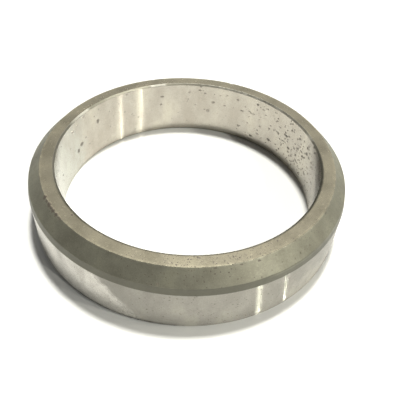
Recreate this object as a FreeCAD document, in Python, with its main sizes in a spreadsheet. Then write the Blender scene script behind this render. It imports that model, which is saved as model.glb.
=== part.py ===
import FreeCAD, Part
import os

import Sketcher

# A loose outer ring (race) of a roller bearing, in millimetres.
# The ring stands on its lower face, with its axis on +Z and its origin at the centre of that face.
# Its outside is a plain ground cylinder that presses into a housing. The upper outer corner is turned
# away in two steps, a wide bevel and a steep lead-in, so that the ring starts squarely in its seat.
# Its bore is the raceway, a plain polished cylinder with a small chamfer at each end.

NODE = "outer_ring"

DIMENSIONS = [
    # alias, value, meaning
    ("outer_diameter", 110.0, "ground outside, which sits in the housing"),
    ("bore_diameter", 91.0, "raceway that the rollers run on"),
    ("ring_width", 22.4, "from the lower face to the upper face"),
    ("bevel_width", 4.3, "wide bevel, measured along the radius"),
    ("bevel_height", 4.2, "wide bevel, measured along the axis"),
    ("lead_in_width", 0.4, "steep lead-in, measured along the radius"),
    ("lead_in_height", 2.5, "steep lead-in, measured along the axis"),
    ("bore_chamfer", 0.6, "chamfer at both ends of the bore"),
    ("lower_corner_radius", 0.8, "rounding of the lower outer corner"),
]


def add_sheet(document):
    """Keep the driving dimensions in a spreadsheet, one row each."""
    sheet = document.addObject("Spreadsheet::Sheet", "sizes")
    for row, (alias, value, meaning) in enumerate(DIMENSIONS, start=1):
        sheet.set(f"A{row}", alias)
        sheet.set(f"B{row}", str(value))
        sheet.setAlias(f"B{row}", alias)
        sheet.set(f"C{row}", meaning)
    document.recompute()
    return sheet


def origin_plane(body, role):
    """The body's own origin plane with this role."""
    return next(plane for plane in body.Origin.OriginFeatures if plane.Role == role)


def add_profile(body):
    """Half of the ring's section, in the plane of the axis, closed and fully constrained."""
    sketch = body.newObject("Sketcher::SketchObject", "ring_profile")
    sketch.AttachmentSupport = [(origin_plane(body, "XZ_Plane"), "")]
    sketch.MapMode = "FlatFace"

    # A rough outline in the right order. The constraints below give it its size.
    outline = [(40, 0), (55, 0), (55, 15), (54, 18), (50, 22), (40, 22)]
    corners = [FreeCAD.Vector(x, y, 0) for x, y in outline]
    count = len(corners)
    for index in range(count):
        sketch.addGeometry(Part.LineSegment(corners[index], corners[(index + 1) % count]), False)
    for index in range(count):
        sketch.addConstraint(Sketcher.Constraint("Coincident", index, 2, (index + 1) % count, 1))

    lower_face, outside, lead_in, bevel, upper_face, raceway = range(count)
    start, end = 1, 2
    root_point = (-1, 1)
    for line in (lower_face, upper_face):
        sketch.addConstraint(Sketcher.Constraint("Horizontal", line))
    for line in (outside, raceway):
        sketch.addConstraint(Sketcher.Constraint("Vertical", line))
    sketch.addConstraint(Sketcher.Constraint("PointOnObject", lower_face, start, -1))

    corner_radius = "sizes.outer_diameter / 2 - sizes.lead_in_width"
    driving = [
        ("raceway_radius", "DistanceX", (lower_face, start), "sizes.bore_diameter / 2"),
        ("outside_radius", "DistanceX", (outside, start), "sizes.outer_diameter / 2"),
        ("bevel_outer_radius", "DistanceX", (bevel, start), corner_radius),
        ("upper_face_radius", "DistanceX", (bevel, end), corner_radius + " - sizes.bevel_width"),
        ("outside_top", "DistanceY", (lead_in, start),
         "sizes.ring_width - sizes.bevel_height - sizes.lead_in_height"),
        ("bevel_bottom", "DistanceY", (bevel, start), "sizes.ring_width - sizes.bevel_height"),
        ("upper_face_level", "DistanceY", (bevel, end), "sizes.ring_width"),
    ]
    for name, kind, point, expression in driving:
        coordinate = corners[point[0] if point[1] == start else (point[0] + 1) % count]
        value = coordinate.x if kind == "DistanceX" else coordinate.y
        number = sketch.addConstraint(Sketcher.Constraint(kind, *root_point, *point, value))
        sketch.renameConstraint(number, name)
        sketch.setExpression(f"Constraints.{name}", expression)
    return sketch


def circles_at(shape, radius, levels):
    """Names of the circular edges with this radius at one of these heights."""
    found = []
    for number, edge in enumerate(shape.Edges, start=1):
        round_edge = isinstance(edge.Curve, Part.Circle) and edge.isClosed()
        if not round_edge or abs(edge.Curve.Radius - radius) > 1e-4:
            continue
        if any(abs(edge.Curve.Center.z - level) < 1e-4 for level in levels):
            found.append(f"Edge{number}")
    return found


def add_outer_ring(document, sheet):
    """Revolve the section, then finish its small corners."""
    body = document.addObject("PartDesign::Body", NODE)
    body.Label = NODE
    sketch = add_profile(body)

    turned = body.newObject("PartDesign::Revolution", "turned_ring")
    turned.Profile = sketch
    turned.ReferenceAxis = (sketch, ["V_Axis"])
    turned.Angle = 360.0
    document.recompute()

    chamfers = body.newObject("PartDesign::Chamfer", "bore_chamfers")
    bore_edges = circles_at(turned.Shape, sheet.bore_diameter / 2, (0.0, sheet.ring_width))
    chamfers.Base = (turned, bore_edges)
    chamfers.setExpression("Size", "sizes.bore_chamfer")
    document.recompute()

    corner = body.newObject("PartDesign::Fillet", "lower_corner")
    corner.Base = (chamfers, circles_at(chamfers.Shape, sheet.outer_diameter / 2, (0.0,)))
    corner.setExpression("Radius", "sizes.lower_corner_radius")
    document.recompute()

    body.Tip = corner
    body.Placement = FreeCAD.Placement()
    return body


def check(document, bodies):
    """Stop if any object failed, or if any sub-part isn't one valid solid."""
    for item in document.Objects:
        if "Invalid" in item.State or "Error" in item.State:
            raise RuntimeError(f"{item.Label} failed: {item.State}")
    for body in bodies:
        shape = body.Shape
        if shape.isNull() or not shape.isValid() or len(shape.Solids) != 1:
            raise RuntimeError(f"{body.Label} isn't one valid solid")


document = FreeCAD.newDocument("bearing_ring")
sizes = add_sheet(document)
ring = add_outer_ring(document, sizes)
document.recompute()
check(document, [ring])

os.makedirs("parts", exist_ok=True)
ring.Shape.exportStep(f"parts/{NODE}.step")
box = ring.Shape.optimalBoundingBox(False)
print(f"{NODE}: {box.XLength:.3f} x {box.YLength:.3f} x {box.ZLength:.3f} mm, {ring.Shape.Volume:.0f} mm3")
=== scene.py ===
"""Loose bearing ring on a glossy white table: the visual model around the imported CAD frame.

Lengths are in mm until MM turns them into metres. Azimuths are in degrees round +Z from +X, and the
camera stands near azimuth -90.
"""

import math
import random

import bpy
import numpy as np
from mathutils import Matrix, Vector


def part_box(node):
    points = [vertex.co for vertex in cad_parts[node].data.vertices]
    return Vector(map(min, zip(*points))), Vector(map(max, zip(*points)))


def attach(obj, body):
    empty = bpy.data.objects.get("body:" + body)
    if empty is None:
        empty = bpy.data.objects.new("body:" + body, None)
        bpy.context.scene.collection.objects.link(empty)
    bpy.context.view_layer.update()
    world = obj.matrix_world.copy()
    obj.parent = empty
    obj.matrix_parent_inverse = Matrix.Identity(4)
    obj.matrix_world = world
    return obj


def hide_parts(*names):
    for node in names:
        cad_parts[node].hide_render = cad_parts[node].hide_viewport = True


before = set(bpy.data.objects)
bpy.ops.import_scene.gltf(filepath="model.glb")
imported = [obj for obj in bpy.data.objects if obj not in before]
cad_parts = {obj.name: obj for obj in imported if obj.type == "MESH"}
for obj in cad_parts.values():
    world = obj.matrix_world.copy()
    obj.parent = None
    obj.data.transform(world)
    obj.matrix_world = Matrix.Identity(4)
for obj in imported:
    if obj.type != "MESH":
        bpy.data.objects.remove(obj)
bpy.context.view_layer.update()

MM = 0.001
NODE = "outer_ring"

# ---------------------------------------------------------------- section of the ring, mm
low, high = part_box(NODE)
R_OUT = min(high[0], high[1], -low[0], -low[1]) / MM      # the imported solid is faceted: stay inside it
TOP = high[2] / MM
R_BORE = 45.5
R_FACE_IN = 46.1
R_FACE_OUT = 50.3
R_BEVEL_LOW = 54.5
Z_BEVEL_LOW = 18.2
Z_SEAT_TOP = 15.7
BORE_CHAMFER = 0.6
LOWER_RADIUS = 0.8
SEGMENTS = 820            # steps round the ring
WIDE_CORNER = 0.5         # a corner rounded by more than this gets more steps
WIDE_PARTS, NARROW_PARTS = 4, 2
TOUCH = 0.02              # how far a point may lie off a face and still belong to it

BORE, FACE, BEVEL, LEAD, SEAT, EDGE = range(6)      # material slots

# corner r, z, radius of its worn edge, slot of that edge, slot of the run after it, step of that run
CORNERS = [
    (R_FACE_IN, 0.0, 0.12, EDGE, FACE, 1.35),
    (R_OUT, 0.0, LOWER_RADIUS, SEAT, SEAT, 1.0),
    (R_OUT, Z_SEAT_TOP, 0.25, SEAT, LEAD, 0.42),
    (R_BEVEL_LOW, Z_BEVEL_LOW, 0.22, BEVEL, BEVEL, 0.43),
    (R_FACE_OUT, TOP, 0.03, BEVEL, FACE, 0.4),
    (R_FACE_IN, TOP, 0.10, EDGE, EDGE, 0.4),
    (R_BORE, TOP - BORE_CHAMFER, 0.14, BORE, BORE, 0.48),
    (R_BORE, BORE_CHAMFER, 0.14, EDGE, EDGE, 0.4),
]


def section():
    """Points of the closed section with rounded corners, and the slot of the strip after each point."""
    count = len(CORNERS)
    arcs = []
    for i, (r, z, radius, *_) in enumerate(CORNERS):
        here = Vector((r, z))
        before = (Vector(CORNERS[i - 1][:2]) - here).normalized()
        after = (Vector(CORNERS[(i + 1) % count][:2]) - here).normalized()
        half = before.angle(after) / 2
        reach = radius / math.tan(half)
        centre = here + (before + after).normalized() * (radius / math.sin(half))
        start, end = here + before * reach, here + after * reach
        parts = WIDE_PARTS if radius > WIDE_CORNER else NARROW_PARTS
        first = math.atan2(start.y - centre.y, start.x - centre.x)
        turn = math.atan2(end.y - centre.y, end.x - centre.x) - first
        turn = (turn + math.pi) % (2 * math.pi) - math.pi
        angles = [first + turn * k / parts for k in range(parts + 1)]
        arcs.append([centre + radius * Vector((math.cos(a), math.sin(a))) for a in angles])
    points, slots = [], []
    for i, (*_, edge_slot, slot, step) in enumerate(CORNERS):
        points += arcs[i][:-1]
        slots += [edge_slot] * (len(arcs[i]) - 1)
        a, b = arcs[i][-1], arcs[(i + 1) % count][0]
        runs = max(1, round((b - a).length / step))
        points += [a.lerp(b, k / runs) for k in range(runs)]
        slots += [slot] * runs
    return points, slots


# ---------------------------------------------------------------- wear marks
# read from the photo and rounded, or made up for the hidden sides
# bore marks: azimuth, height, length round the wall, height of the mark, tone 0 to 1
BORE_MARKS = [
    (160.4, 8.6, 2.1, 1.9, 1.0), (157.2, 10.1, 2.3, 2.0, 1.0), (144.0, 14.8, 1.7, 2.2, 1.0),
    (153.5, 11.4, 1.4, 0.8, 0.4), (163.0, 18.8, 2.2, 0.8, 0.4), (153.0, 20.8, 2.0, 0.9, 0.3),
    (125.5, 21.0, 1.6, 0.8, 0.6), (105.8, 16.8, 1.9, 1.1, 0.8), (106.5, 13.0, 1.4, 1.5, 0.6),
    (91.3, 18.6, 1.4, 0.9, 0.5), (85.3, 21.5, 1.5, 0.8, 0.7), (85.8, 19.8, 1.4, 0.9, 0.8),
    (83.0, 18.5, 1.7, 0.9, 0.5), (78.4, 14.5, 1.8, 0.8, 0.5), (72.0, 14.2, 1.4, 0.9, 0.4),
    (81.0, 10.3, 1.8, 1.8, 0.4), (71.3, 19.1, 1.4, 0.8, 0.5), (74.7, 18.5, 1.2, 0.8, 0.4),
    (65.0, 18.5, 1.4, 0.9, 0.9), (63.3, 6.2, 1.6, 1.2, 0.7), (62.0, 14.0, 2.2, 0.8, 0.7),
    (57.8, 15.0, 1.8, 0.8, 0.5), (55.3, 14.5, 1.8, 0.8, 0.7), (57.5, 12.4, 1.2, 0.9, 0.3),
    (53.4, 19.7, 1.3, 1.1, 1.0), (55.2, 3.5, 2.0, 1.1, 0.9), (49.5, 18.5, 1.2, 0.8, 0.6),
    (47.8, 16.6, 1.8, 0.7, 0.4), (50.5, 10.0, 1.4, 0.8, 0.6), (51.3, 5.9, 1.8, 1.2, 0.4),
    (43.8, 6.1, 2.0, 1.4, 0.9), (43.8, 13.1, 1.2, 0.8, 0.4), (38.8, 12.3, 2.6, 0.8, 0.8),
    (37.8, 15.2, 1.6, 0.7, 0.5), (40.0, 17.1, 1.3, 0.8, 0.4), (42.2, 20.1, 1.4, 0.8, 0.3),
    (32.6, 13.5, 2.3, 1.2, 1.0), (30.4, 14.2, 1.8, 0.7, 0.8), (29.5, 9.0, 2.1, 1.2, 1.0),
    (32.5, 10.3, 1.3, 0.8, 0.6), (25.1, 13.5, 1.4, 0.8, 0.6), (23.1, 9.2, 1.7, 1.2, 0.8),
    (22.0, 17.6, 2.2, 0.9, 0.8), (22.2, 12.7, 1.6, 0.8, 0.6), (19.1, 13.3, 2.2, 0.9, 0.9),
    (18.4, 16.2, 1.4, 0.8, 0.6), (16.9, 12.1, 2.2, 1.0, 0.9), (20.6, 6.8, 1.8, 0.9, 0.6),
    (14.6, 17.7, 1.6, 1.2, 0.8), (14.1, 15.2, 2.0, 1.4, 1.0), (11.6, 15.0, 2.2, 1.0, 0.8),
    (12.2, 6.8, 2.4, 1.0, 0.7), (10.6, 10.7, 1.6, 0.8, 0.6), (13.8, 19.0, 1.6, 0.9, 0.6),
    (9.4, 21.3, 1.6, 0.8, 0.7), (7.8, 15.0, 1.8, 0.9, 0.6), (2.0, 9.2, 2.2, 1.0, 0.8),
    (26.0, 4.5, 1.6, 1.0, 0.5), (18.0, 3.4, 1.6, 1.0, 0.5), (35.0, 7.6, 1.2, 0.8, 0.5),
]
# face marks: azimuth, radius, length, width, tone
FACE_MARKS = [
    (-136.3, 47.0, 1.5, 1.2, 1.0), (-121.0, 46.6, 1.0, 0.8, 0.6),
    (-108.0, 46.9, 0.9, 0.8, 0.6), (-107.0, 49.2, 1.0, 0.8, 0.6), (-97.0, 47.1, 0.9, 0.8, 0.6),
    (-88.0, 47.4, 1.0, 0.9, 0.9), (-85.0, 47.0, 0.9, 0.8, 0.9), (-80.0, 49.2, 1.2, 0.8, 0.7),
    (-82.0, 47.9, 0.9, 0.7, 0.7), (-58.7, 47.4, 1.0, 0.8, 0.8), (-55.0, 47.3, 1.0, 0.7, 0.6),
    (-48.0, 49.6, 1.0, 0.7, 0.6), (-42.7, 49.2, 1.1, 0.8, 0.8), (-40.0, 47.1, 1.0, 0.7, 0.7),
    (-30.0, 49.8, 0.9, 0.7, 0.5), (-12.0, 49.6, 1.2, 0.8, 0.8), (24.0, 48.0, 1.2, 0.8, 0.5),
    (63.0, 48.8, 1.4, 0.8, 0.5), (118.0, 47.5, 1.2, 0.8, 0.5), (171.0, 49.0, 1.3, 0.8, 0.5),
]
# bevel marks: azimuth, distance down the slope, length, width, tone
BEVEL_MARKS = [
    (-97.6, 5.2, 1.2, 1.0, 0.9), (-129.5, 4.9, 0.9, 0.8, 0.4),
    (-87.0, 0.6, 1.1, 0.6, 0.7), (-84.0, 1.2, 0.8, 0.6, 0.6), (-80.5, 0.4, 1.4, 0.6, 0.8),
    (-81.0, 3.2, 0.8, 0.7, 0.6), (-72.0, 0.6, 1.2, 0.7, 0.9), (-66.0, 0.8, 1.4, 0.8, 0.8),
    (-32.0, 0.5, 1.6, 0.6, 0.8), (-40.0, 2.6, 0.9, 0.7, 0.4), (-112.0, 1.6, 0.9, 0.7, 0.4),
    (-19.0, 3.9, 1.0, 0.8, 0.5), (35.0, 1.8, 1.4, 0.9, 0.5), (84.0, 3.6, 1.6, 0.9, 0.6),
    (152.0, 1.2, 1.4, 0.8, 0.6),
]
# seat marks: azimuth, height, length, width, tone
SEAT_MARKS = [
    (-125.5, 13.3, 1.2, 0.9, 0.5), (-81.0, 9.6, 1.0, 1.2, 0.5), (-87.0, 8.9, 1.2, 0.9, 0.4),
    (-62.0, 1.4, 1.8, 0.9, 0.5), (-100.0, 3.2, 1.0, 0.8, 0.4), (-96.0, 12.2, 1.6, 0.8, 0.3),
    (-40.0, 10.0, 1.1, 0.8, 0.4), (48.0, 9.0, 2.0, 1.0, 0.7), (96.0, 6.0, 1.8, 1.1, 0.8),
    (131.0, 11.5, 1.6, 0.9, 0.6), (-170.0, 5.0, 1.4, 0.9, 0.5),
]
# nicks knocked into the sharp rim between the upper face and the bevel: azimuth, length, depth
RIM_NICKS = [
    (-32.0, 1.6, 0.05), (22.0, 1.3, 0.12),
    (71.0, 1.8, 0.16), (109.0, 1.2, 0.10), (163.0, 1.6, 0.12),
]
# one long gouge on the same rim, a row of dark chips: azimuth, length, width, tone
RIM_GOUGE = [
    (-150.1, 1.9, 2.2, 1.0), (-147.9, 1.6, 1.5, 0.9), (-145.9, 2.6, 2.2, 1.0), (-144.0, 1.6, 1.6, 0.9),
    (-142.5, 2.2, 2.0, 1.0), (-140.1, 1.7, 2.1, 1.0), (-137.9, 2.4, 1.5, 0.8),
]
SEED = 7
PIT_DEPTH = 0.10
GOUGE_DEPTH = 0.12
GOUGE_AT = 0.25           # its middle, distance down the bevel from the rim
GOUGE_REACH = 1.6         # how far from the rim it may go
BOTTOM_DEPTH = 0.05
NICK_REACH = 0.35         # how far from the rim a nick goes
SMALL_NICKS = 25


def scattered(rng, count, azimuths, across, length, width, tones):
    """Small extra marks inside a patch, always the same ones."""
    limits = (azimuths, across, length, width, tones)
    return [tuple(rng.uniform(*pair) for pair in limits) for _ in range(count)]


def ramp(value, start, width):
    """0 up to start and 1 from start + width on; with a negative width it falls as value grows."""
    return np.clip((value - start) / width, 0.0, 1.0)


def band(value, start, end, soft):
    """1 between start and end, with both ends faded over the width soft."""
    rise = np.clip((value - start) / soft + 0.5, 0.0, 1.0)
    fall = np.clip((end - value) / soft + 0.5, 0.0, 1.0)
    return rise * fall


def turn_from(az, centre):
    """Angle from centre to az, -180 to 180."""
    return (az - centre + 180.0) % 360.0 - 180.0


class Wear:
    """Marks on the grid of points: field is how far inside a mark a point is, sink how deep it lies."""

    def __init__(self, az, r, z):
        self.az, self.r, self.z = az, r, z
        self.sink = np.zeros_like(r)
        self.field = np.full_like(r, -1.0)
        self.tone = np.zeros_like(r)

    def stamp(self, where, across, marks, depth):
        for mark_az, mark_at, length, width, mark_tone in marks:
            u = np.radians(turn_from(self.az, mark_az)) * self.r / (length / 2)
            v = (across - mark_at) / (width / 2)
            reach = np.where(where, np.sqrt(u * u + v * v), 9.0)
            inside = 1.0 - reach
            better = inside > self.field
            self.field[better] = np.maximum(inside[better], -1.0)
            self.tone = np.where(better & (reach < 2.2), mark_tone, self.tone)
            dent = np.clip(1.15 - reach, 0.0, 1.0) ** 1.5
            self.sink = np.maximum(self.sink, depth * mark_tone * dent)

    def nick(self, mark_az, length, depth):
        near_rim = np.clip(1.0 - np.hypot(self.r - R_FACE_OUT, self.z - TOP) / NICK_REACH, 0.0, 1.0)
        u = np.radians(turn_from(self.az, mark_az)) * self.r / (length / 2)
        dent = np.clip(1.2 - np.abs(u), 0.0, 1.0) ** 0.7
        self.sink = np.maximum(self.sink, depth * near_rim * dent)


def worn(wear, on_bore, on_top, on_bevel, on_seat):
    """Every mark of the ring, stamped face by face: the drawn ones, then the scattered ones."""
    rng = random.Random(SEED)
    r, z = wear.r, wear.z
    slope = np.hypot(r - R_FACE_OUT, TOP - z)            # distance from the rim
    bore = BORE_MARKS + scattered(rng, 60, (-8, 60), (2, 20), (0.7, 1.4), (0.6, 0.9), (0.25, 0.7))
    bore += scattered(rng, 45, (60, 180), (2, 20), (0.6, 1.2), (0.6, 0.9), (0.2, 0.5))
    bore += scattered(rng, 70, (180, 350), (2, 20), (0.7, 1.8), (0.6, 1.0), (0.3, 0.9))
    wear.stamp(on_bore, z, bore, PIT_DEPTH)
    face = FACE_MARKS + scattered(rng, 60, (-180, 180), (46.6, 49.9), (0.6, 1.1), (0.5, 0.8), (0.2, 0.6))
    wear.stamp(on_top, r, face, 0.0)
    bottom = scattered(rng, 60, (-180, 180), (46.8, 53.5), (1.4, 2.6), (1.4, 2.2), (0.3, 0.8))
    wear.stamp(z < TOUCH, r, bottom, BOTTOM_DEPTH)
    bevel = BEVEL_MARKS + scattered(rng, 50, (-180, 180), (0.4, 5.6), (0.6, 1.2), (0.5, 0.9), (0.15, 0.5))
    wear.stamp(on_bevel, slope, bevel, PIT_DEPTH * 0.7)
    down = np.where(on_top, -slope, slope)
    gouge = [(mark_az, GOUGE_AT, length, width, tone) for mark_az, length, width, tone in RIM_GOUGE]
    wear.stamp((on_top | on_bevel) & (slope < GOUGE_REACH), down, gouge, GOUGE_DEPTH)
    seat = SEAT_MARKS + scattered(rng, 40, (20, 175), (1.5, 15), (0.8, 1.9), (0.9, 1.3), (0.3, 0.8))
    wear.stamp(on_seat, z, seat, PIT_DEPTH * 0.6)
    small = [(rng.uniform(-180, 180), rng.uniform(0.5, 1.1), rng.uniform(0.01, 0.02))
             for _ in range(SMALL_NICKS)]
    for nick in RIM_NICKS + small:
        wear.nick(*nick)


def tone_maps(az, r, z, on_bore, on_top, on_bevel, on_seat):
    """Where the finishes are cleaner, stained, specked or rubbed, and where shade and highlights are
    painted on, set at rounded azimuths.
    """
    turned = turn_from(az, 0.0)
    left = az % 360.0 - 360.0                            # -360 to 0, whole across the left side
    on_chamfer = (z > TOP - BORE_CHAMFER - 0.05) & (r < R_FACE_IN + 0.12) & ~on_bore
    on_lead = (z > Z_SEAT_TOP + 0.05) & (z < Z_BEVEL_LOW - 0.05) & (r > R_BEVEL_LOW - TOUCH)
    on_corner = r > R_OUT - LOWER_RADIUS

    # small pits crowd at the right of the bore and at the front of the other faces
    density = np.where(on_bore, 0.35 + 0.65 * np.exp(-((turned - 22.0) / 30.0) ** 2),
                       0.55 + 0.45 * np.exp(-((turned + 75.0) / 40.0) ** 2))

    # the cleaner patch at the left has a slanting border at the front and fades out at the back
    clean_and_painted_light = np.clip((-110.0 - (left + z - 8.0)) / 8.0 + 0.5, 0.0, 1.0) * ramp(left, -214.0, 14.0)
    clean_and_painted_light = np.where(on_bore, ramp(left, -214.0, 20.0) * ramp(left, -150.0, -14.0), clean_and_painted_light)
    # painted highlights: stretches of the bore chamfer painted paler where they glint, and a paler painted
    # stretch at the right
    glint = np.maximum(ramp(az, 147.0, 3.0) * ramp(az, 165.0, -6.0),
                       np.minimum(ramp(az, 103.0, 2.0), 0.8) * ramp(az, 113.0, -2.0))
    glint = np.maximum(glint, 0.45 * band(turned, 8, 88, 14))
    clean_and_painted_light = np.where(on_chamfer, glint, clean_and_painted_light)
    # painted light: the upper part of the lead-in at the right painted paler, lit like the bevel, and the
    # foot of the outside there painted paler over the table's reflected shade
    clean_and_painted_light = np.where(on_lead, ramp(z, 16.9, 0.6) * band(turned, -62, 8, 20), clean_and_painted_light)
    clean_and_painted_light = np.where((z < 0.7) & on_corner, np.maximum(clean_and_painted_light, band(turned, -78, 20, 20)), clean_and_painted_light)

    # painted shade: a dark line where the ring meets the table, the top of the outside darker at the front
    # right, and the near half of the bore chamfer; on the bevel at the front right a greenish stain that
    # is also painted shade over the lamps' highlight
    painted_shade_and_stain = np.where((z < 1.3) & on_corner, ramp(z, 1.2, -0.7) * band(turned, -138, -94, 10), 0.0)
    painted_shade_and_stain = np.where(on_seat & (z > 2), 0.32 * ramp(z, 4.0, 6.0) * band(turned, -62, -15, 12), painted_shade_and_stain)
    painted_shade_and_stain = np.where(on_bevel, 0.30 * band(turned, -62, -44, 8), painted_shade_and_stain)
    painted_shade_and_stain = np.where(on_chamfer, 0.85 * band(turned, -152, 5, 20), painted_shade_and_stain)

    # a paler outer rim of the face: a rubbed edge, painted brighter as a highlight
    rim = np.where(on_top, np.clip((r - R_FACE_OUT + 0.9) / 0.8, 0.0, 1.0), 0.0)
    return {"speck_density": density, "clean_and_painted_light": clean_and_painted_light, "painted_shade_and_stain": painted_shade_and_stain, "rim": rim}


def area_normals(verts, rows):
    """Point normals weighted by area, which keep the wide faces flat beside their narrow worn edges."""
    grid = verts.reshape(SEGMENTS, rows, 3)
    round_next, along_next = np.roll(grid, -1, axis=0), np.roll(grid, -1, axis=1)
    area = np.cross(np.roll(round_next, -1, axis=1) - grid, along_next - round_next)
    normal = area + np.roll(area, 1, axis=0)
    normal = normal + np.roll(normal, 1, axis=1)
    normal /= np.linalg.norm(normal, axis=2)[:, :, None]
    return normal.reshape(-1, 3)


def ring_mesh():
    """One closed shell: the section turned round the axis, with the wear sunk into it."""
    points, slots = section()
    rows = len(points)
    profile = np.array([tuple(p) for p in points])
    along = np.roll(profile, -1, axis=0) - np.roll(profile, 1, axis=0)
    along /= np.linalg.norm(along, axis=1)[:, None]
    outward = np.stack([along[:, 1], -along[:, 0]], axis=1)      # the section runs anticlockwise
    azimuth = np.arange(SEGMENTS) * 360.0 / SEGMENTS
    az = np.repeat(azimuth[:, None], rows, axis=1)
    r = np.repeat(profile[None, :, 0], SEGMENTS, axis=0)
    z = np.repeat(profile[None, :, 1], SEGMENTS, axis=0)

    on_bore = np.abs(r - R_BORE) < TOUCH
    on_top = (z > TOP - TOUCH) & (r < R_FACE_OUT + 0.2)
    on_bevel = (r >= R_FACE_OUT - 0.2) & (z > Z_BEVEL_LOW - 0.1) & (r < R_BEVEL_LOW + 0.05)
    on_seat = (r > R_OUT - TOUCH) & (z < Z_SEAT_TOP + 0.1)
    wear = Wear(az, r, z)
    worn(wear, on_bore, on_top, on_bevel, on_seat)

    r = r - outward[None, :, 0] * wear.sink
    z = np.clip(z - outward[None, :, 1] * wear.sink, 0.0, TOP)
    theta = np.radians(az)
    verts = np.stack([r * np.cos(theta), r * np.sin(theta), z], axis=-1).reshape(-1, 3) * MM
    faces = []
    for i in range(SEGMENTS):
        j = (i + 1) % SEGMENTS
        for k in range(rows):
            m = (k + 1) % rows
            faces.append((i * rows + k, j * rows + k, j * rows + m, i * rows + m))

    mesh = bpy.data.meshes.new("outer_ring_visual")
    mesh.from_pydata(verts.tolist(), [], faces)
    mesh.polygons.foreach_set("material_index", slots * SEGMENTS)
    mesh.polygons.foreach_set("use_smooth", [True] * len(faces))
    maps = {"mark": wear.field, "mark_tone": wear.tone}
    maps.update(tone_maps(az, r, z, on_bore, on_top, on_bevel, on_seat))
    for name, values in maps.items():
        attribute = mesh.attributes.new(name, "FLOAT", "POINT")
        attribute.data.foreach_set("value", values.reshape(-1).astype(np.float32))
    mesh.update()
    mesh.validate()
    mesh.normals_split_custom_set_from_vertices(area_normals(verts, rows).tolist())
    return mesh


# ---------------------------------------------------------------- materials
RUST = (0.062, 0.048, 0.034, 1)
# what the base or the dark colour is multiplied by where the steel is paler, rubbed bright with a painted
# highlight, or in painted shade
PALE = (1.25, 1.25, 1.2, 1)
RUBBED_AND_LIT = (1.55, 1.55, 1.5, 1)
SHADE_AND_SOIL = (0.42, 0.43, 0.42, 1)
# features per mm of the broad stains, the mottling and the fine grain
BROAD, MOTTLE, FINE = 0.11, 0.55, 2.6
BUMP_STRENGTH = 0.35
BUMP_HEIGHT = 0.00002     # metres
STEEL_IOR = 1.5


class Graph:
    """Short calls for building a node tree."""

    def __init__(self, tree):
        self.tree = tree
        tree.nodes.clear()

    def put(self, socket, value):
        if hasattr(value, "is_output"):
            self.tree.links.new(value, socket)
        elif value is not None:
            socket.default_value = value

    def node(self, kind, inputs=None, **settings):
        made = self.tree.nodes.new(kind)
        for key, value in settings.items():
            setattr(made, key, value)
        for key, value in (inputs or {}).items():
            self.put(made.inputs[key], value)
        return made

    def math(self, operation, a, b=None, c=None, clamp=False):
        made = self.node("ShaderNodeMath", operation=operation, use_clamp=clamp)
        for socket, value in zip(made.inputs, (a, b, c)):
            self.put(socket, value)
        return made.outputs[0]

    def times(self, a, b):
        return self.math("MULTIPLY", a, b)

    def vector(self, x, y, z):
        return self.node("ShaderNodeCombineXYZ", {0: x, 1: y, 2: z}).outputs[0]

    def noise(self, vector, scale, detail, roughness):
        made = self.node("ShaderNodeTexNoise", {"Vector": vector, "Scale": scale, "Detail": detail,
                                                "Roughness": roughness})
        return made.outputs["Fac"]

    def shifted(self, noise, spread, onto):
        """onto, pushed up and down by a noise that is centred on 0.5."""
        return self.math("MULTIPLY_ADD", self.math("SUBTRACT", noise, 0.5), spread, onto)

    def ranged(self, value, low, high, to_low=0.0, to_high=1.0, smooth=True):
        made = self.node("ShaderNodeMapRange", {"Value": value, "From Min": low, "From Max": high,
                                                "To Min": to_low, "To Max": to_high},
                         interpolation_type="SMOOTHSTEP" if smooth else "LINEAR")
        return made.outputs["Result"]

    def mix(self, factor, a, b, blend="MIX"):
        made = self.node("ShaderNodeMix", data_type="RGBA", blend_type=blend)
        colours = [s for s in made.inputs if s.type == "RGBA"]
        self.put(made.inputs["Factor"], factor)
        self.put(colours[0], a)
        self.put(colours[1], b)
        return next(s for s in made.outputs if s.type == "RGBA")

    def tinted(self, colour, factor):
        return self.mix(1.0, colour, factor, "MULTIPLY")

    def attribute(self, name):
        return self.node("ShaderNodeAttribute", attribute_name=name).outputs["Fac"]


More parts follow.
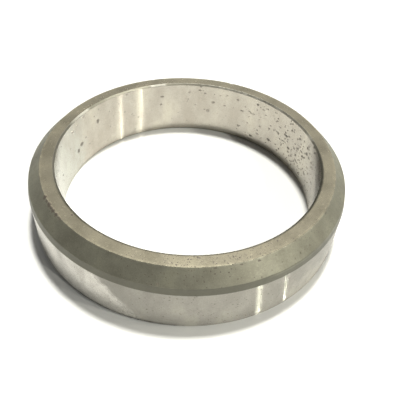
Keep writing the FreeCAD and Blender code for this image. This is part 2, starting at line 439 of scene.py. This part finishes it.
def steel(name, base, dark, roughness, metallic, lines, stains, specks, cells, grime,
          anisotropy=0.0, specular=0.5, clean_and_painted_light=None):
    """Worn steel: colour, stains, grinding lines round the axis, dark pits.

    dark is the colour of the stains and of the painted shade, lines the grinding lines per mm, stains how
    strongly the colour varies, specks how many of the small dots show, cells how close together they may
    be, and grime how dark they are. The last argument gives the colour, metallic and roughness of the
    brighter part: steel that is less stained, and painted highlights on the chamfer, the lead-in and the
    foot of the outside.
    """
    material = bpy.data.materials.new(name)
    material.use_nodes = True
    g = Graph(material.node_tree)
    place = g.node("ShaderNodeTexCoord").outputs["Object"]
    split = g.node("ShaderNodeSeparateXYZ", {0: place})
    x, y, z = (g.times(s, 1 / MM) for s in split.outputs)
    at = g.vector(x, y, z)
    radius = g.math("SQRT", g.math("ADD", g.times(x, x), g.times(y, y)))
    across = g.math("SUBTRACT", radius, z)
    turned = g.vector(g.times(x, 0.05), g.times(y, 0.05), g.times(across, lines))
    grinding = g.noise(turned, 1.0, 4.0, 0.7)
    broad = g.noise(g.vector(g.times(x, BROAD), g.times(y, BROAD), g.times(z, 0.05)), 1.0, 3.0, 0.55)
    mottle = g.noise(at, MOTTLE, 5.0, 0.65)
    fine = g.noise(at, FINE, 4.0, 0.7)

    # the brighter part: steel that is less stained, and painted highlights where the attribute is high
    if clean_and_painted_light:
        bright_base, bright_metallic, bright_roughness = clean_and_painted_light
        ragged = g.shifted(g.noise(at, 0.28, 4.0, 0.55), 0.9, g.attribute("clean_and_painted_light"))
        bright = g.ranged(ragged, 0.2, 0.8)
        base = g.mix(bright, base, bright_base)
        metallic = g.ranged(bright, 0.0, 1.0, metallic, bright_metallic, smooth=False)
        roughness = g.ranged(bright, 0.0, 1.0, roughness, bright_roughness, smooth=False)

    # stains, from the broadest to the finest, then the rubbed rim with its painted highlight and the
    # places of painted shade
    pale = g.tinted(base, PALE)
    colour = g.mix(g.ranged(broad, 0.5, 0.32, 0.0, stains), base, pale)
    colour = g.mix(g.ranged(broad, 0.45, 0.68, 0.0, stains), colour, dark)
    colour = g.mix(g.ranged(mottle, 0.45, 0.75, 0.0, stains * 0.6), colour, dark)
    colour = g.mix(g.ranged(fine, 0.48, 0.72, 0.0, stains), colour, dark)
    colour = g.mix(g.ranged(grinding, 0.5, 0.8, 0.0, 0.22), colour, dark)
    colour = g.mix(g.ranged(fine, 0.46, 0.30, 0.0, stains * 0.8), colour, pale)
    # the rubbed rim of the face, painted paler as a highlight
    rubbed_and_lit = g.ranged(g.noise(at, 0.4, 4.0, 0.6), 0.42, 0.62, 0.08, 0.62)
    colour = g.mix(g.times(g.attribute("rim"), rubbed_and_lit), colour, g.tinted(base, RUBBED_AND_LIT))
    # painted shade, with a greenish stain on the bevel, makes the colour darker where the attribute says
    # so
    patchy = g.ranged(g.noise(at, 0.7, 5.0, 0.7), 0.30, 0.65, 0.75, 1.25)
    shade_and_soil = g.math("MULTIPLY", g.attribute("painted_shade_and_stain"), patchy, clamp=True)
    colour = g.mix(shade_and_soil, colour, g.tinted(dark, SHADE_AND_SOIL))

    # dark pits: the marks of the mesh with a ragged outline, and small dots between them
    ragged = g.shifted(g.noise(at, FINE, 3.0, 0.6), 1.3, g.attribute("mark"))
    pit = g.times(g.ranged(ragged, -0.05, 0.45), g.attribute("mark_tone"))
    warp = g.node("ShaderNodeTexNoise", {"Vector": at, "Scale": 2.2, "Detail": 2.0}).outputs["Color"]
    bent = g.node("ShaderNodeVectorMath", {0: warp, 1: (0.9, 0.9, 0.9), 2: at},
                  operation="MULTIPLY_ADD").outputs[0]
    cell = g.node("ShaderNodeTexVoronoi", {"Vector": bent, "Scale": cells, "Randomness": 1.0})
    size = g.times(g.noise(at, 0.35, 2.0, 0.5), g.attribute("speck_density"))
    size = g.ranged(size, 0.12, 0.6, 0.0, specks)
    dot = g.ranged(g.math("SUBTRACT", size, cell.outputs["Distance"]), 0.0, 0.10)
    pitted = g.math("MAXIMUM", pit, dot)
    colour = g.mix(g.times(pitted, grime), colour, RUST)

    rough = g.math("ADD", g.ranged(mottle, 0.3, 0.75, -0.01, 0.03), roughness)
    rough = g.math("MULTIPLY_ADD", pitted, 0.25, rough, clamp=True)
    metal = g.times(g.math("MULTIPLY_ADD", pitted, -0.95, 1.0), metallic)
    relief = g.math("MULTIPLY_ADD", grinding, 0.5, g.times(fine, 0.04 if anisotropy else 0.12))
    relief = g.math("MULTIPLY_ADD", pitted, -0.6, relief)
    bump = g.node("ShaderNodeBump", {"Strength": BUMP_STRENGTH, "Distance": BUMP_HEIGHT, "Height": relief})
    shader = g.node("ShaderNodeBsdfPrincipled", {
        "Base Color": colour, "Metallic": metal, "Roughness": rough, "Normal": bump.outputs[0],
        "IOR": STEEL_IOR, "Specular IOR Level": specular})
    if anisotropy:
        # a quarter turn makes the reflections of lamps long along the axis
        tangent = g.node("ShaderNodeTangent", direction_type="RADIAL", axis="Z")
        shader.inputs["Anisotropic"].default_value = anisotropy
        shader.inputs["Anisotropic Rotation"].default_value = 0.25
        g.put(shader.inputs["Tangent"], tangent.outputs[0])
    g.node("ShaderNodeOutputMaterial", {"Surface": shader.outputs[0]})
    return material


# in the order of the slots: raceway, face, bevel, lead-in, seat, edges
# the last colour of a finish is its cleaner steel, and on the lead-in, the edges and the foot of the seat
# also painted highlights
FINISHES = (
    dict(name="raceway_steel", base=(0.51, 0.48, 0.42, 1), dark=(0.39, 0.355, 0.305, 1),
         roughness=0.14, metallic=0.92, lines=5.0, stains=0.6, specks=0.32, cells=0.62, grime=0.62,
         anisotropy=1.0, clean_and_painted_light=((0.50, 0.502, 0.458, 1), 0.92, 0.14)),
    dict(name="face_steel", base=(0.42, 0.38, 0.28, 1), dark=(0.25, 0.226, 0.16, 1),
         roughness=0.25, metallic=0.85, lines=4.0, stains=0.5, specks=0.36, cells=1.2, grime=0.95),
    dict(name="bevel_steel", base=(0.266, 0.258, 0.20, 1), dark=(0.19, 0.18, 0.137, 1),
         roughness=0.53, metallic=0.85, lines=3.0, stains=0.7, specks=0.25, cells=0.9, grime=0.9),
    dict(name="lead_steel", base=(0.15, 0.146, 0.118, 1), dark=(0.12, 0.115, 0.095, 1),
         roughness=0.43, metallic=0.9, lines=3.0, stains=0.4, specks=0.1, cells=0.9, grime=0.6,
         clean_and_painted_light=((0.205, 0.20, 0.155, 1), 0.9, 0.45)),
    dict(name="seat_steel", base=(0.44, 0.42, 0.375, 1), dark=(0.32, 0.305, 0.27, 1),
         roughness=0.17, metallic=0.17, lines=4.0, stains=0.6, specks=0.25, cells=0.8, grime=0.6,
         anisotropy=1.0, specular=0.02, clean_and_painted_light=((0.71, 0.685, 0.635, 1), 0.85, 0.19)),
    dict(name="edge_steel", base=(0.31, 0.295, 0.24, 1), dark=(0.24, 0.225, 0.175, 1),
         roughness=0.45, metallic=1.0, lines=4.0, stains=0.4, specks=0.2, cells=0.9, grime=0.6,
         clean_and_painted_light=((0.60, 0.58, 0.50, 1), 0.45, 0.4)),
)

ring = bpy.data.objects.new("outer_ring_visual", ring_mesh())
bpy.context.scene.collection.objects.link(ring)
for finish in FINISHES:
    ring.data.materials.append(steel(**finish))
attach(ring, "root")
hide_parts(NODE)

# ---------------------------------------------------------------- table
TABLE_SIZE = 12.0         # metres
TABLE_GAP = 0.00002       # metres below the ring, so that the two faces don't coincide
bpy.ops.mesh.primitive_plane_add(size=TABLE_SIZE, location=(0, 0, -TABLE_GAP))
table = bpy.context.object
table.name = "table"
gloss = bpy.data.materials.new("white_gloss_table")
gloss.use_nodes = True
g = Graph(gloss.node_tree)
shader = g.node("ShaderNodeBsdfPrincipled", {"Base Color": (0.80, 0.80, 0.775, 1), "Roughness": 0.08,
                                             "IOR": 1.5})
g.node("ShaderNodeOutputMaterial", {"Surface": shader.outputs[0]})
table.data.materials.append(gloss)


# ---------------------------------------------------------------- lights
def toward(azimuth, elevation):
    """Unit vector from the ring, angles in degrees."""
    a, e = math.radians(azimuth), math.radians(elevation)
    return Vector((math.cos(a) * math.cos(e), math.sin(a) * math.cos(e), math.sin(e)))


def lamp(name, azimuth, elevation, distance, size, power, colour):
    """Round lamp that faces the ring. distance and size are in metres."""
    data = bpy.data.lights.new(name, "AREA")
    data.shape = "DISK"
    data.size = size
    data.energy = power
    data.color = colour
    made = bpy.data.objects.new(name, data)
    way = toward(azimuth, elevation)
    made.location = way * distance
    made.rotation_euler = way.to_track_quat("Z", "Y").to_euler()
    bpy.context.scene.collection.objects.link(made)
    return data


# name, azimuth, elevation, distance, size, power, colour
LAMPS = (
    ("overhead_soft", 73.0, 78.0, 1.4, 0.17, 25.0, (1.0, 0.99, 0.95)),
    ("front_low", -41.0, 33.5, 1.3, 0.040, 3.2, (1.0, 0.99, 0.92)),
    ("side_low", -20.0, 34.0, 1.3, 0.040, 3.8, (1.0, 0.98, 0.88)),
    ("front_high", -30.0, 50.0, 1.3, 0.040, 1.4, (1.0, 0.99, 0.92)),
    ("side_high", -4.0, 50.0, 1.3, 0.040, 1.2, (1.0, 0.98, 0.88)),
)
# the low and high lamps as the gloss of the table mirrors them onto the walls: weak, narrow, from below.
# a and b draw the two bright lines in the bore, c and d the two on the outside
GLINT_COLOUR = (0.97, 1.0, 0.84)
GLINTS = (
    ("glint_a", -41.0, -33.5, 1.3, 0.02, 0.024, GLINT_COLOUR),
    ("glint_b", -20.0, -34.0, 1.3, 0.02, 0.054, GLINT_COLOUR),
    ("glint_c", -30.0, -52.3, 1.3, 0.062, 0.60, GLINT_COLOUR),
    ("glint_d", -4.0, -52.3, 1.3, 0.025, 0.29, GLINT_COLOUR),
)
for settings in LAMPS:
    lamp(*settings)
for settings in GLINTS:
    glint = lamp(*settings)
    glint.use_shadow = False                     # the table lies between it and the ring
    glint.cycles.use_multiple_importance_sampling = False

# the room: brighter near the horizon, with two wide soft glows
HORIZON_GLOW, ZENITH_GLOW = 0.46, 0.04
ROOM_GLOWS = ((85.0, 40.0, 0.52, 4.5), (-20.0, 38.0, 0.28, 5.0))     # azimuth, elevation, strength, focus
world = bpy.data.worlds.new("soft_room")
world.use_nodes = True
bpy.context.scene.world = world
g = Graph(world.node_tree)
sky = g.node("ShaderNodeTexCoord").outputs["Generated"]
height = g.node("ShaderNodeSeparateXYZ", {0: sky}).outputs[2]
glow = g.ranged(height, 0.10, 0.55, HORIZON_GLOW, ZENITH_GLOW)
for azimuth, elevation, strength, focus in ROOM_GLOWS:
    facing = g.node("ShaderNodeVectorMath", {0: sky, 1: toward(azimuth, elevation)},
                    operation="DOT_PRODUCT")
    near = g.math("POWER", g.math("MAXIMUM", facing.outputs["Value"], 0.0), focus)
    glow = g.math("MULTIPLY_ADD", near, strength, glow)
background = g.node("ShaderNodeBackground", {"Color": (0.95, 0.96, 0.95, 1), "Strength": glow})
g.node("ShaderNodeOutputWorld", {"Surface": background.outputs[0]})

# ---------------------------------------------------------------- camera, fitted to the ring's circles
CAMERA_AT = Vector((0.0, -130.7, 125.3)) * MM
CAMERA_AIM = Vector((4.33, -12.10, 11.2)) * MM
CAMERA_ROLL = 3.875       # degrees
data = bpy.data.cameras.new("photo_camera")
data.sensor_width = 36.0
data.lens = 42.9
data.clip_start = 0.005
data.clip_end = 50.0
camera = bpy.data.objects.new("photo_camera", data)
turn = (CAMERA_AIM - CAMERA_AT).to_track_quat("-Z", "Y").to_matrix()
turn = turn @ Matrix.Rotation(math.radians(CAMERA_ROLL), 3, "Z")
camera.matrix_world = Matrix.Translation(CAMERA_AT) @ turn.to_4x4()
bpy.context.scene.collection.objects.link(camera)
bpy.context.scene.camera = camera
bpy.context.scene.view_settings.view_transform = "Standard"
